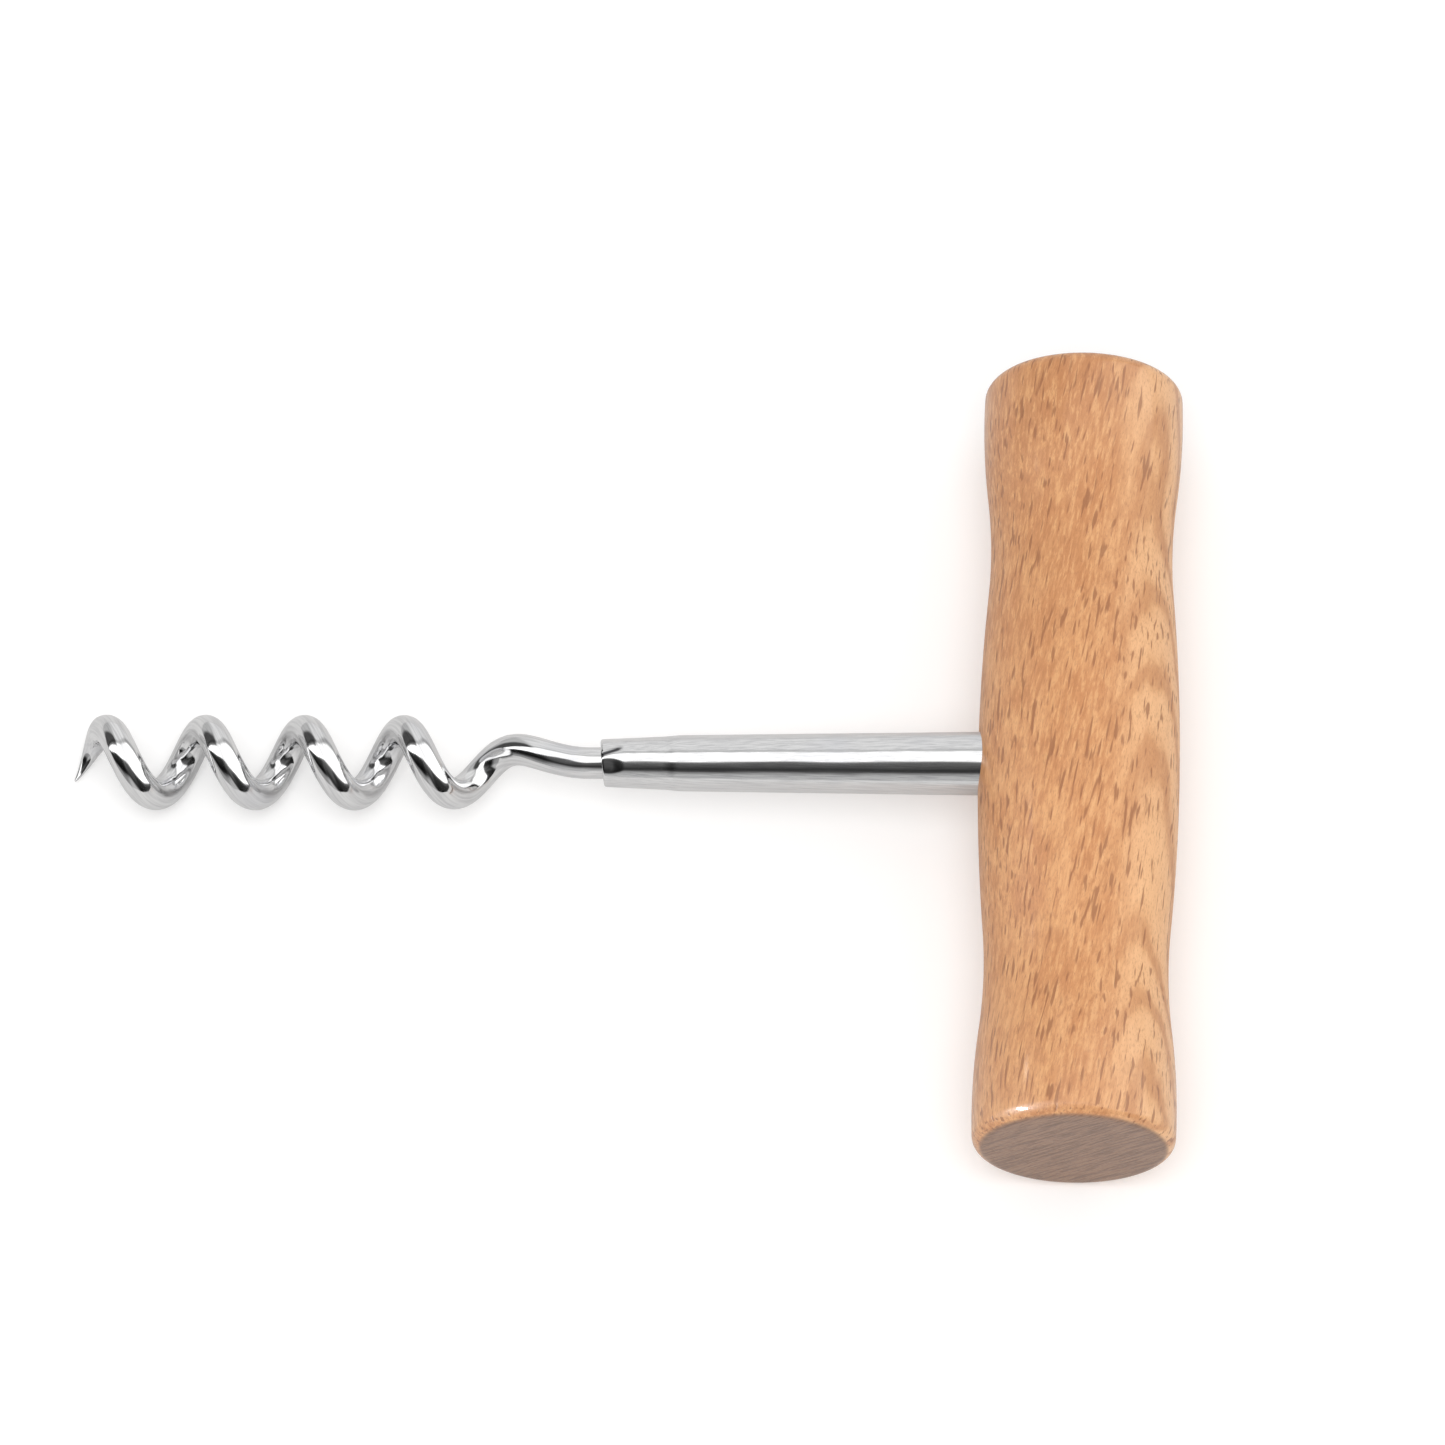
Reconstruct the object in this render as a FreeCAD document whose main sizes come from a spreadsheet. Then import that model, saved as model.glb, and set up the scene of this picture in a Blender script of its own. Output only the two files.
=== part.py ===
import FreeCAD, Part
import math
import os

import Sketcher

# T handle corkscrew, in millimetres.
# A turned beech handle carries a steel shank at its middle. One steel wire runs from a blind bore
# in the handle, through a tapered tube whose nose is crimped on it, and is wound into the worm.
# The corkscrew lies as it comes to rest, on the side of its handle and on one turn of the worm.
# Each piece is drawn about the middle of the handle, with the handle along Y and the shank
# along -X, and one placement that all of them share tips and lifts it onto the floor.

os.makedirs("parts", exist_ok=True)
doc = FreeCAD.newDocument("corkscrew")
Vector = FreeCAD.Vector
Rotation = FreeCAD.Rotation

# Driving dimensions: name, size, meaning
SIZES = (
    ("overall_length", 105.0, "tip of the worm to the far side of the handle"),
    ("handle_length", 78.0, "end face to end face"),
    ("handle_diameter", 19.0, "across the swell at the middle"),
    ("waist_depth", 0.88, "waist below the middle swell, on the radius"),
    ("end_rise", 0.88, "end swell above the waist, on the radius"),
    ("waist_inset", 17.8, "end face to the bottom of the waist"),
    ("crest_inset", 3.5, "end face to the crest of the end swell"),
    ("waist_radius", 50.0, "hollow of the waist, along the handle"),
    ("rim_radius", 1.3, "rounded edge of the end faces"),
    ("tube_seat", 7.0, "depth of the tube in the handle"),
    ("bore_clearance", 0.05, "gap round the tube in the handle"),
    ("wire_seat", 12.0, "depth of the wire in the handle"),
    ("pilot_clearance", 0.05, "gap round the wire in its pilot hole"),
    ("tail_gap", 0.3, "wire end to the bottom of its pilot hole"),
    ("drill_angle", 118.0, "point of the pilot drill, in degrees"),
    ("tube_reach", 35.5, "handle to the nose of the tube"),
    ("tube_wall", 0.7, "wall of the open part of the tube"),
    ("tube_flare", 0.35, "taper from shoulder to handle, on the radius"),
    ("nose_length", 6.5, "crimped nose of the tube"),
    ("nose_wall", 0.72, "wall at the tip of the nose"),
    ("nose_flare", 0.28, "taper of the nose, on the radius"),
    ("nose_clearance", 0.03, "gap round the wire in the nose"),
    ("shoulder_step", 0.12, "rise from nose to tube, on the radius"),
    ("shoulder_length", 0.4, "slope that makes the rise"),
    ("crimp_inset", 1.0, "nose tip to the middle of the crimp marks"),
    ("crimp_length", 1.8, "crimp mark along the tube"),
    ("crimp_width", 1.4, "crimp mark across the tube"),
    ("crimp_depth", 0.25, "crimp mark below the surface of the tube"),
    ("crimp_turn", 24.0, "crimp marks about the shank, from upright, in degrees"),
    ("wire_diameter", 3.0, "drawn wire"),
    ("wire_lead", 1.2, "straight wire between the nose and the bend"),
    ("bend_length", 15.0, "stretch of the shank where the wire swings out"),
    ("worm_diameter", 9.05, "outside of the worm"),
    ("worm_pitch", 9.45, "from turn to turn"),
    ("tip_turn", 167.6, "tip about the shank, from upright, in degrees"),
    ("point_length", 7.0, "ground point, measured along the wire"),
    ("point_diameter", 0.25, "blunt end of the point"),
)
sheet = doc.addObject("Spreadsheet::Sheet", "sizes")
for row, (name, number, meaning) in enumerate(SIZES, start=1):
    sheet.set(f"A{row}", meaning)
    sheet.set(f"B{row}", str(number))
    sheet.setAlias(f"B{row}", name)
doc.recompute()

# What follows from the driving dimensions: name, rule
RULES = (
    ("swell_radius", "sizes.handle_diameter / 2"),
    ("waist_least", "swell_radius - sizes.waist_depth"),
    ("waist_centre", "waist_least + sizes.waist_radius"),
    ("crest_radius", "waist_least + sizes.end_rise"),
    ("half_length", "sizes.handle_length / 2"),
    ("waist_place", "half_length - sizes.waist_inset"),
    ("crest_place", "half_length - sizes.crest_inset"),
    ("swell_arc", "(waist_place ^ 2 + sizes.waist_depth ^ 2) / (2 * sizes.waist_depth)"
                  " - sizes.waist_radius"),
    ("crest_arc", "((crest_place - waist_place) ^ 2 + sizes.end_rise ^ 2) / (2 * sizes.end_rise)"
                  " - sizes.waist_radius"),
    ("wire_radius", "sizes.wire_diameter / 2"),
    ("nose_bore", "wire_radius + sizes.nose_clearance"),
    ("nose_tip", "nose_bore + sizes.nose_wall"),
    ("nose_root", "nose_tip + sizes.nose_flare"),
    ("shoulder_radius", "nose_root + sizes.shoulder_step"),
    ("tube_radius", "shoulder_radius + sizes.tube_flare"),
    ("shoulder_bore", "shoulder_radius - sizes.tube_wall"),
    ("tube_bore", "tube_radius - sizes.tube_wall"),
    ("shoulder_place", "sizes.nose_length + sizes.shoulder_length"),
    ("tube_length", "sizes.tube_reach + sizes.tube_seat"),
    ("bore_radius", "tube_radius + sizes.bore_clearance"),
    ("pilot_radius", "wire_radius + sizes.pilot_clearance"),
    ("bore_floor", "swell_radius + sizes.tube_seat"),
    ("pilot_floor", "swell_radius + sizes.wire_seat + sizes.tail_gap"),
    ("pilot_tip", "pilot_floor + pilot_radius / tan(sizes.drill_angle / 2)"),
    ("nose_place", "swell_radius + sizes.tube_reach"),
    ("tail_place", "swell_radius - sizes.wire_seat"),
    ("bend_place", "nose_place + sizes.wire_lead"),
    ("tip_place", "sizes.overall_length - swell_radius"),
    ("coil_radius", "sizes.worm_diameter / 2 - wire_radius"),
    ("coil_slope", "sqrt(1 + (2 * pi * coil_radius / sizes.worm_pitch) ^ 2)"),
    ("point_place", "tip_place - sizes.point_length / coil_slope"),
    ("rest_radius", "max(swell_radius; crest_radius)"),
    ("rest_place", "tip_place - sizes.worm_pitch * (1 + (180 - sizes.tip_turn) / 360)"),
    ("worm_radius", "sizes.worm_diameter / 2"),
    ("rest_tilt", "(asin(rest_radius / sqrt(rest_place ^ 2 + worm_radius ^ 2))"
                  " - atan(worm_radius / rest_place)) / 1 deg"),
    ("point_radius", "sizes.point_diameter / 2"),
    ("blunt_edge", "point_radius * sqrt(1 - 1 / coil_slope ^ 2)"),
    ("tip_reach", "tip_place * cos(rest_tilt) + coil_radius * cos(sizes.tip_turn) * sin(rest_tilt)"
                  " + blunt_edge"),
    ("middle_place", "(tip_reach - rest_radius) / 2"),
    ("crimp_place", "nose_place - sizes.crimp_inset"),
    ("crimp_surface", "nose_tip + sizes.nose_flare * sizes.crimp_inset / sizes.nose_length"),
    ("punch_height", "sizes.crimp_width / 2"),
    ("punch_share", "sqrt(1 - (1 - sizes.crimp_depth / punch_height) ^ 2)"),
    ("punch_place", "crimp_surface + punch_height - sizes.crimp_depth"),
)
derived = doc.addObject("App::VarSet", "derived")
for name, rule in RULES:
    derived.addProperty("App::PropertyFloat", name)
    derived.setExpression(name, rule)
doc.recompute()

size = {name: float(sheet.get(name)) for name, number, meaning in SIZES}
size.update({name: getattr(derived, name) for name, rule in RULES})


def source(name):
    """Where the document keeps a named size."""
    return f"derived.{name}" if name in derived.PropertiesList else f"sizes.{name}"


def origin_part(body, role):
    """A plane or axis of the body's own origin."""
    return next(part for part in body.Origin.OriginFeatures if part.Role == role)


def new_sketch(body, name):
    """A sketch on the body's level plane: sketch X is X, sketch Y is Y."""
    sketch = body.newObject("Sketcher::SketchObject", name)
    sketch.AttachmentSupport = [(origin_part(body, "XY_Plane"), "")]
    sketch.MapMode = "FlatFace"
    return sketch


def bind(sketch, label, name, constraint_type, *places):
    """Adds a constraint that holds a named size."""
    index = sketch.addConstraint(Sketcher.Constraint(constraint_type, *places, size[name]))
    sketch.renameConstraint(index, label)
    sketch.setExpression(f"Constraints.{label}", source(name))


# How a sketch names the places on a line or arc, and its own two axes
START, END, CENTRE = range(1, 4)
LEVEL_AXIS, UPRIGHT_AXIS = range(-1, -3, -1)
ROOT = (LEVEL_AXIS, START)


def turned_outline(body, name, datum, corners):
    """A closed outline of straight lines to be turned about the shank.

    Its outermost end lies at the size datum from the middle of the handle. Each corner has its
    depth inward from that end and its radius, both names of sizes, or None where it is zero.
    """
    sketch = new_sketch(body, name)
    places = [Vector(-size[datum] + (size[depth] if depth else 0), size[radius] if radius else 0)
              for depth, radius in corners]
    lines = [sketch.addGeometry(Part.LineSegment(places[i], places[(i + 1) % len(places)]))
             for i in range(len(places))]
    for line, following in zip(lines, lines[1:] + lines[:1]):
        sketch.addConstraint(Sketcher.Constraint("Coincident", line, END, following, START))
    bind(sketch, "datum", datum, "DistanceX", lines[0], START, *ROOT)
    for i, (depth, radius) in enumerate(corners):
        if radius:
            bind(sketch, f"radius{i}", radius, "DistanceY", *ROOT, lines[i], START)
        else:
            sketch.addConstraint(Sketcher.Constraint("PointOnObject", lines[i], START, LEVEL_AXIS))
        if depth:
            bind(sketch, f"depth{i}", depth, "DistanceX", lines[0], START, lines[i], START)
        elif i:
            sketch.addConstraint(Sketcher.Constraint("Vertical", lines[0], START, lines[i], START))
    return sketch


def lathe_outline(body):
    """Half the handle's section: rim, end swell, hollow waist, middle swell, and the same again.

    Neighbouring arcs touch on the line of their centres. The crests and the waists lie at set
    places, so the radii of the swells follow from them.
    """
    sketch = new_sketch(body, "lathe_outline")
    crest_centre = size["crest_radius"] - size["crest_arc"]
    rim_place = size["half_length"] - size["rim_radius"]
    rim_centre = crest_centre + math.sqrt((size["crest_arc"] - size["rim_radius"]) ** 2
                                          - (rim_place - size["crest_place"]) ** 2)
    half = (
        (Vector(rim_centre, rim_place), size["rim_radius"], True),
        (Vector(crest_centre, size["crest_place"]), size["crest_arc"], True),
        (Vector(size["waist_centre"], size["waist_place"]), size["waist_radius"], False),
    )
    arcs = [(Vector(centre.x, -centre.y), radius, bulges) for centre, radius, bulges in half]
    arcs.append((Vector(size["swell_radius"] - size["swell_arc"], 0), size["swell_arc"], True))
    arcs.extend(reversed(half))
    joints = [Vector(rim_centre, -size["half_length"])]
    for (centre, radius, bulges), (next_centre, next_radius, next_bulges) in zip(arcs, arcs[1:]):
        reach = radius + next_radius if bulges != next_bulges else radius - next_radius
        joints.append(centre + (next_centre - centre) * (radius / reach))
    joints.append(Vector(rim_centre, size["half_length"]))

    ids = []
    for i, (centre, radius, bulges) in enumerate(arcs):
        low, high = (math.atan2(p.y - centre.y, p.x - centre.x) for p in joints[i:i + 2])
        span = (low, high) if bulges else (high, low + 2 * math.pi)
        circle = Part.Circle(centre, Vector(0, 0, 1), radius)
        ids.append(sketch.addGeometry(Part.ArcOfCircle(circle, *span)))
    low_end, high_end = (Vector(0, y) for y in (-size["half_length"], size["half_length"]))
    low_face = sketch.addGeometry(Part.LineSegment(low_end, joints[0]))
    high_face = sketch.addGeometry(Part.LineSegment(joints[-1], high_end))
    axis = sketch.addGeometry(Part.LineSegment(high_end, low_end))

    def lower(i):
        return (ids[i], START if arcs[i][2] else END)

    def upper(i):
        return (ids[i], END if arcs[i][2] else START)

    last = len(ids) - 1
    for i in range(last):
        sketch.addConstraint(Sketcher.Constraint("Tangent", *upper(i), *lower(i + 1)))
    sketch.addConstraint(Sketcher.Constraint("Tangent", low_face, END, *lower(0)))
    sketch.addConstraint(Sketcher.Constraint("Tangent", *upper(last), high_face, START))
    sketch.addConstraint(Sketcher.Constraint("Coincident", axis, END, low_face, START))
    sketch.addConstraint(Sketcher.Constraint("Coincident", high_face, END, axis, START))
    for face in (low_face, high_face):
        sketch.addConstraint(Sketcher.Constraint("Horizontal", face))
    for end in (START, END):
        sketch.addConstraint(Sketcher.Constraint("PointOnObject", axis, end, UPRIGHT_AXIS))
    bind(sketch, "low_half", "half_length", "DistanceY", axis, END, *ROOT)
    bind(sketch, "high_half", "half_length", "DistanceY", *ROOT, axis, START)
    bind(sketch, "swell_arc", "swell_arc", "Radius", ids[last // 2])
    for label, (rim, crest, waist) in (("low", ids[:len(half)]), ("high", ids[:-len(half) - 1:-1])):
        for place, arc in (("waist_place", waist), ("crest_place", crest)):
            ends = ((arc, CENTRE), ROOT) if label == "low" else (ROOT, (arc, CENTRE))
            bind(sketch, f"{label}_{place}", place, "DistanceY", *ends[0], *ends[1])
        bind(sketch, f"{label}_waist_centre", "waist_centre", "DistanceX", *ROOT, waist, CENTRE)
        bind(sketch, f"{label}_waist_arc", "waist_radius", "Radius", waist)
        bind(sketch, f"{label}_crest_arc", "crest_arc", "Radius", crest)
        bind(sketch, f"{label}_rim", "rim_radius", "Radius", rim)
    return sketch


def lay_down(piece):
    """Tips the shank down to the floor and centres the corkscrew over the frame's origin."""
    piece.Placement = FreeCAD.Placement(Vector(), Rotation(Vector(0, 1, 0), -size["rest_tilt"]))
    piece.setExpression("Placement.Base.x", source("middle_place"))
    piece.setExpression("Placement.Base.z", source("rest_radius"))
    piece.setExpression("Placement.Rotation.Angle", f"-{source('rest_tilt')}")


# Handle
# Turned between centres from one blank, its ends eased, then drilled from one side
handle = doc.addObject("PartDesign::Body", "handle")
turning = handle.newObject("PartDesign::Revolution", "turning")
lathe_sketch = lathe_outline(handle)
turning.Profile = lathe_sketch
turning.ReferenceAxis = (lathe_sketch, ["V_Axis"])
turning.Angle = 360
doc.recompute()

drilling = handle.newObject("PartDesign::Groove", "drilling")
bore_sketch = turned_outline(handle, "bore_outline", "handle_diameter", (
    (None, None),
    (None, "bore_radius"),
    ("bore_floor", "bore_radius"),
    ("bore_floor", "pilot_radius"),
    ("pilot_floor", "pilot_radius"),
    ("pilot_tip", None),
))
drilling.Profile = bore_sketch
drilling.ReferenceAxis = (bore_sketch, ["H_Axis"])
drilling.Angle = 360
handle.Tip = drilling
lay_down(handle)

# Tube
# Steel tube, tapered towards the worm, its nose swaged down on the wire and struck on two sides
tube = doc.addObject("PartDesign::Body", "tube")
drawing = tube.newObject("PartDesign::Revolution", "drawing")
tube_sketch = turned_outline(tube, "tube_outline", "nose_place", (
    (None, "nose_bore"),
    (None, "nose_tip"),
    ("nose_length", "nose_root"),
    ("shoulder_place", "shoulder_radius"),
    ("tube_reach", "tube_radius"),
    ("tube_length", "tube_radius"),
    ("tube_length", "tube_bore"),
    ("tube_reach", "tube_bore"),
    ("shoulder_place", "shoulder_bore"),
    ("nose_length", "nose_bore"),
))
drawing.Profile = tube_sketch
drawing.ReferenceAxis = (tube_sketch, ["H_Axis"])
drawing.Angle = 360
doc.recompute()

crimp = tube.newObject("PartDesign::SubtractiveEllipsoid", "crimp")
crimp.Placement = FreeCAD.Placement(Vector(), Rotation(Vector(1, 0, 0), size["crimp_turn"]))
crimp.setExpression("Placement.Base.x", f"-{source('crimp_place')}")
crimp.setExpression("Placement.Base.y", "-derived.punch_place * sin(sizes.crimp_turn)")
crimp.setExpression("Placement.Base.z", "derived.punch_place * cos(sizes.crimp_turn)")
crimp.setExpression("Placement.Rotation.Angle", source("crimp_turn"))
crimp.setExpression("Radius1", source("punch_height"))
crimp.setExpression("Radius2", "sizes.crimp_length / 2 / derived.punch_share")
crimp.setExpression("Radius3", "sizes.crimp_width / 2 / derived.punch_share")
doc.recompute()
crimp_pair = tube.newObject("PartDesign::PolarPattern", "crimp_pair")
crimp_pair.Originals = [crimp]
crimp_pair.Axis = (origin_part(tube, "X_Axis"), [""])
crimp_pair.Angle = 360
crimp_pair.Occurrences = 2
tube.Tip = crimp_pair
lay_down(tube)


# Worm
# One wire: straight tail, bend from the middle of the shank out to the coil, turns, ground point
def wire_centre(place):
    """Middle of the wire at a place on the shank, measured from the middle of the handle.

    The coil is right-handed. Over the bend its radius swells from nothing and its rate of turning
    grows evenly, so the wire leaves the shank without a corner.
    """
    bend_end = size["bend_place"] + size["bend_length"]
    back = max(bend_end - place, 0)
    share = min(back / size["bend_length"], 1)
    radius = size["coil_radius"] * (1 - share ** 2) ** 2
    coiled = size["tip_place"] - max(place, bend_end)
    turns = (coiled + back * (1 - share / 2)) / size["worm_pitch"]
    angle = math.radians(size["tip_turn"]) + 2 * math.pi * turns
    return Vector(-place, -radius * math.sin(angle), radius * math.cos(angle))


def wire_heading(place):
    """Direction of the wire there, towards the point."""
    step = 1e-4
    return (wire_centre(place + step) - wire_centre(place - step)).normalize()


def tangent_arc(start, corner, end):
    """The arc that touches both sides of a corner, as far from the corner on either side."""
    middle = (start + end) / 2
    rise = (corner - middle).Length
    half = (end - start).Length / 2
    if rise < 1e-6:
        return Part.makeLine(start, end)
    radius = half * (corner - start).Length / rise
    sagitta = radius - math.sqrt(radius ** 2 - half ** 2)
    return Part.Arc(start, middle + (corner - middle) * (sagitta / rise), end).toShape()


def arc_pair(first, last):
    """Two arcs with a tangent in common that join two places of the wire, each in its heading."""
    start, end = wire_centre(first), wire_centre(last)
    leaving, arriving = wire_heading(first), wire_heading(last)
    chord = end - start
    both = leaving + arriving
    turn = 2 * (1 - leaving.dot(arriving))
    reach = chord.dot(chord) / (chord.dot(both) + math.sqrt(chord.dot(both) ** 2 + turn * chord.dot(chord)))
    corners = start + leaving * reach, end - arriving * reach
    join = (corners[0] + corners[1]) / 2
    return [tangent_arc(start, corners[0], join), tangent_arc(join, corners[1], end)]


def wire_section(place, radius, rule):
    """Round section of the wire in two halves, square to its direction."""
    section = doc.addObject("Sketcher::SketchObject", "wire_section")
    circle = Part.Circle(Vector(), Vector(0, 0, 1), radius)
    upper = section.addGeometry(Part.ArcOfCircle(circle, 0, math.pi))
    lower = section.addGeometry(Part.ArcOfCircle(circle, math.pi, 2 * math.pi))
    section.addConstraint(Sketcher.Constraint("Coincident", upper, CENTRE, *ROOT))
    section.addConstraint(Sketcher.Constraint("Coincident", upper, END, lower, START))
    section.addConstraint(Sketcher.Constraint("Coincident", lower, END, upper, START))
    for arc, spot in ((upper, START), (upper, END), (lower, CENTRE)):
        section.addConstraint(Sketcher.Constraint("PointOnObject", arc, spot, LEVEL_AXIS))
    width = section.addConstraint(Sketcher.Constraint("Radius", upper, radius))
    section.setExpression(f"Constraints[{width}]", rule)
    turn = Rotation(Vector(0, 0, 1), wire_heading(place))
    section.Placement = FreeCAD.Placement(wire_centre(place), turn)
    return section


tail = Part.makeLine(wire_centre(size["tail_place"]), wire_centre(size["bend_place"]))
bends_a_turn = 4
coiled_length = size["point_place"] - size["bend_place"]
count = math.ceil(coiled_length / size["worm_pitch"] * bends_a_turn)
places = [size["bend_place"] + coiled_length * i / count for i in range(count + 1)]
wire_path = doc.addObject("Part::Feature", "wire_path")
wire_path.Shape = Part.Wire([tail] + [arc for pair in zip(places, places[1:]) for arc in arc_pair(*pair)])
wire = doc.addObject("Part::Sweep", "wire")
wire.Sections = [wire_section(size["tail_place"], size["wire_radius"], source("wire_radius"))]
wire.Spine = (wire_path, [f"Edge{i + 1}" for i in range(len(wire_path.Shape.Edges))])
wire.Solid = True

point_sections = 5
point_stretch = size["tip_place"] - size["point_place"]
point = doc.addObject("Part::Loft", "point")
for share in (i / (point_sections - 1) for i in range(point_sections)):
    point.Sections += [wire_section(
        size["point_place"] + point_stretch * share,
        size["wire_radius"] + (size["point_radius"] - size["wire_radius"]) * share,
        f"derived.wire_radius + (derived.point_radius - derived.wire_radius) * {share}")]
point.Solid = True
doc.recompute()

# Wire and point meet in one round face, which is left out where they become one solid
meeting = wire_centre(size["point_place"])
skins = [face for piece in (wire, point) for face in piece.Shape.Faces
         if (face.CenterOfMass - meeting).Length > size["point_radius"]]
worm = doc.addObject("Part::Feature", "worm")
worm.Shape = Part.Solid(Part.Shell(skins))
lay_down(worm)
doc.recompute()

faults = [f"{item.Name}: {item.State}" for item in doc.Objects
          if "Invalid" in item.State or "Error" in item.State]
for piece in (handle, tube, worm):
    piece.Label = piece.Name
    if piece.Shape.isNull() or not piece.Shape.isValid() or len(piece.Shape.Solids) != 1:
        faults.append(f"{piece.Name}: not one sound solid")
if faults:
    raise SystemExit("\n".join(faults))
for piece in (handle, tube, worm):
    piece.Shape.exportStep(f"parts/{piece.Name}.step")
    print(piece.Name, "volume", round(piece.Shape.Volume, 1))
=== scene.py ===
# %% [markdown]
# # A T handle corkscrew
#
# The real thing has three pieces. A beech handle is turned on a lathe. A steel tube stands in a
# bore at its middle. One steel wire runs through both, is wound into the worm and ends in a point.
#
# This lesson makes each piece again in smooth mesh, on top of the measured model, gives each its
# finish, and then sets up the floor, the light and the camera. Lengths are thought of in
# millimetres and turned into metres, Blender's own unit, at the end of each piece.

import math

import bmesh
import bpy
from mathutils import Matrix, Vector


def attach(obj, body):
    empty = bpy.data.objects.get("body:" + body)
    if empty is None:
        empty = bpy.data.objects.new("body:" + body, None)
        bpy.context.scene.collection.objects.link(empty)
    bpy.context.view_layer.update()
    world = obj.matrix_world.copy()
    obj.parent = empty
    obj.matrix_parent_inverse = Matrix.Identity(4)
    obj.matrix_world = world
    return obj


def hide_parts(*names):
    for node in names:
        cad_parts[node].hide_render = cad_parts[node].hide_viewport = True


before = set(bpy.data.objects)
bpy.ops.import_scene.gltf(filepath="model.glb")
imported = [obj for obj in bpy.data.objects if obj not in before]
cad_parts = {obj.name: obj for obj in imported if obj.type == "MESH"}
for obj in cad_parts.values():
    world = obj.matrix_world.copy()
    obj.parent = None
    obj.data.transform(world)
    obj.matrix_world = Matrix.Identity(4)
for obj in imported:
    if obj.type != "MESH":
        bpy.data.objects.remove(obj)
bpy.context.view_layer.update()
MM = 0.001
print("measured pieces:", sorted(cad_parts))

# %% [markdown]
# ## Where the pieces lie
#
# A corkscrew put down on a table rests on the side of its handle and on one turn of the worm, so
# the shank dips a little. It is easier to draw each piece level, about the middle of the handle,
# with the handle along Y and the shank along -X, and to tip it over at the end. One matrix does
# that for all three, which keeps them fitting each other.

# %% The move from drawing to table
SHANK_DIP = math.radians(3.3321)
HANDLE_MIDDLE = Vector((42.889, 0, 9.5))
lay_down = (Matrix.Scale(MM, 4) @ Matrix.Translation(HANDLE_MIDDLE)
            @ Matrix.Rotation(-SHANK_DIP, 4, "Y"))
print("shank dips", round(math.degrees(SHANK_DIP), 2), "degrees")

# %% [markdown]
# ## From drawing to piece
#
# Every piece goes through the same last steps: doubled points are merged, faces are turned
# outwards, real corners stay sharp while the rest is shaded smooth, and the piece takes the place
# of its measured model.


# %% Finish a piece
def finish_piece(name, drawing, node, corner=math.radians(35)):
    bmesh.ops.remove_doubles(drawing, verts=drawing.verts, dist=1e-4)
    bmesh.ops.recalc_face_normals(drawing, faces=drawing.faces)
    for face in drawing.faces:
        face.smooth = True
    for edge in drawing.edges:
        edge.smooth = len(edge.link_faces) == 2 and edge.calc_face_angle() < corner
    drawing.transform(lay_down)
    mesh = bpy.data.meshes.new(name)
    drawing.to_mesh(mesh)
    drawing.free()
    piece = bpy.data.objects.new(name, mesh)
    bpy.context.collection.objects.link(piece)
    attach(piece, "root")
    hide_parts(node)
    print(name, "has", len(mesh.polygons), "faces")
    return piece


# %% [markdown]
# ## The handle's outline
#
# A turner works from a profile: how thick the wood is at each place along it. This one is three
# kinds of arc that flow into each other: a long shallow swell in the middle, a hollow waist on
# either side, and a small swell near each end, where the thumb and finger stop. The last arc
# eases the edge. A formula for the radius gives the outline as finely as it is asked for.

# %% The turner's profile
HALF_HANDLE = 39.0
SWELL, WAIST, CREST = 9.5, 8.62, 9.5
WAIST_PLACE, CREST_PLACE = 21.2, 35.5
SWELL_ARC, WAIST_ARC, CREST_ARC = 205.80, 50.0, 66.63
EASED_EDGE = 1.3


def handle_radius(place):
    place = abs(place)
    waist_starts = WAIST_PLACE * SWELL_ARC / (SWELL_ARC + WAIST_ARC)
    waist_ends = WAIST_PLACE + (CREST_PLACE - WAIST_PLACE) * WAIST_ARC / (WAIST_ARC + CREST_ARC)
    if place < waist_starts:
        return SWELL - SWELL_ARC + math.sqrt(SWELL_ARC ** 2 - place ** 2)
    if place < waist_ends:
        return WAIST + WAIST_ARC - math.sqrt(WAIST_ARC ** 2 - (place - WAIST_PLACE) ** 2)
    return CREST - CREST_ARC + math.sqrt(CREST_ARC ** 2 - (place - CREST_PLACE) ** 2)


def handle_profile(step=0.6, edge_steps=8, face_steps=6):
    rim = HALF_HANDLE - EASED_EDGE
    rim_radius = handle_radius(rim) - EASED_EDGE
    eased = [(rim_radius + EASED_EDGE * math.cos(turn), rim + EASED_EDGE * math.sin(turn))
             for turn in (math.pi / 2 * i / edge_steps for i in range(edge_steps, 0, -1))]
    count = round(2 * rim / step)
    side = [(handle_radius(rim - 2 * rim * i / count), rim - 2 * rim * i / count)
            for i in range(count + 1)]
    face = [(rim_radius * i / face_steps, HALF_HANDLE) for i in range(face_steps)]
    far_end = face + eased
    return far_end + side + [(radius, -place) for radius, place in reversed(far_end)]


print("points on the profile:", len(handle_profile()))

# %% [markdown]
# ## Turning it
#
# Spin is the lathe of this lesson: it sweeps a line of edges round an axis. With use_merge the
# last step closes on the first, and the points that lie on the axis fall together into a pole.


# %% Spin a profile round an axis
def turned(profile, axis, steps):
    """Profile points are (radius, place along the axis)."""
    drawing = bmesh.new()
    out = Vector((0, 0, 1))
    points = [drawing.verts.new(out * radius + axis * place) for radius, place in profile]
    edges = [drawing.edges.new(pair) for pair in zip(points, points[1:])]
    bmesh.ops.spin(drawing, geom=points + edges, cent=(0, 0, 0), axis=axis, dvec=(0, 0, 0),
                   angle=2 * math.pi, steps=steps, use_merge=True, use_duplicate=False)
    bmesh.ops.remove_doubles(drawing, verts=drawing.verts, dist=1e-4)
    bmesh.ops.recalc_face_normals(drawing, faces=drawing.faces)
    return drawing


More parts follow.
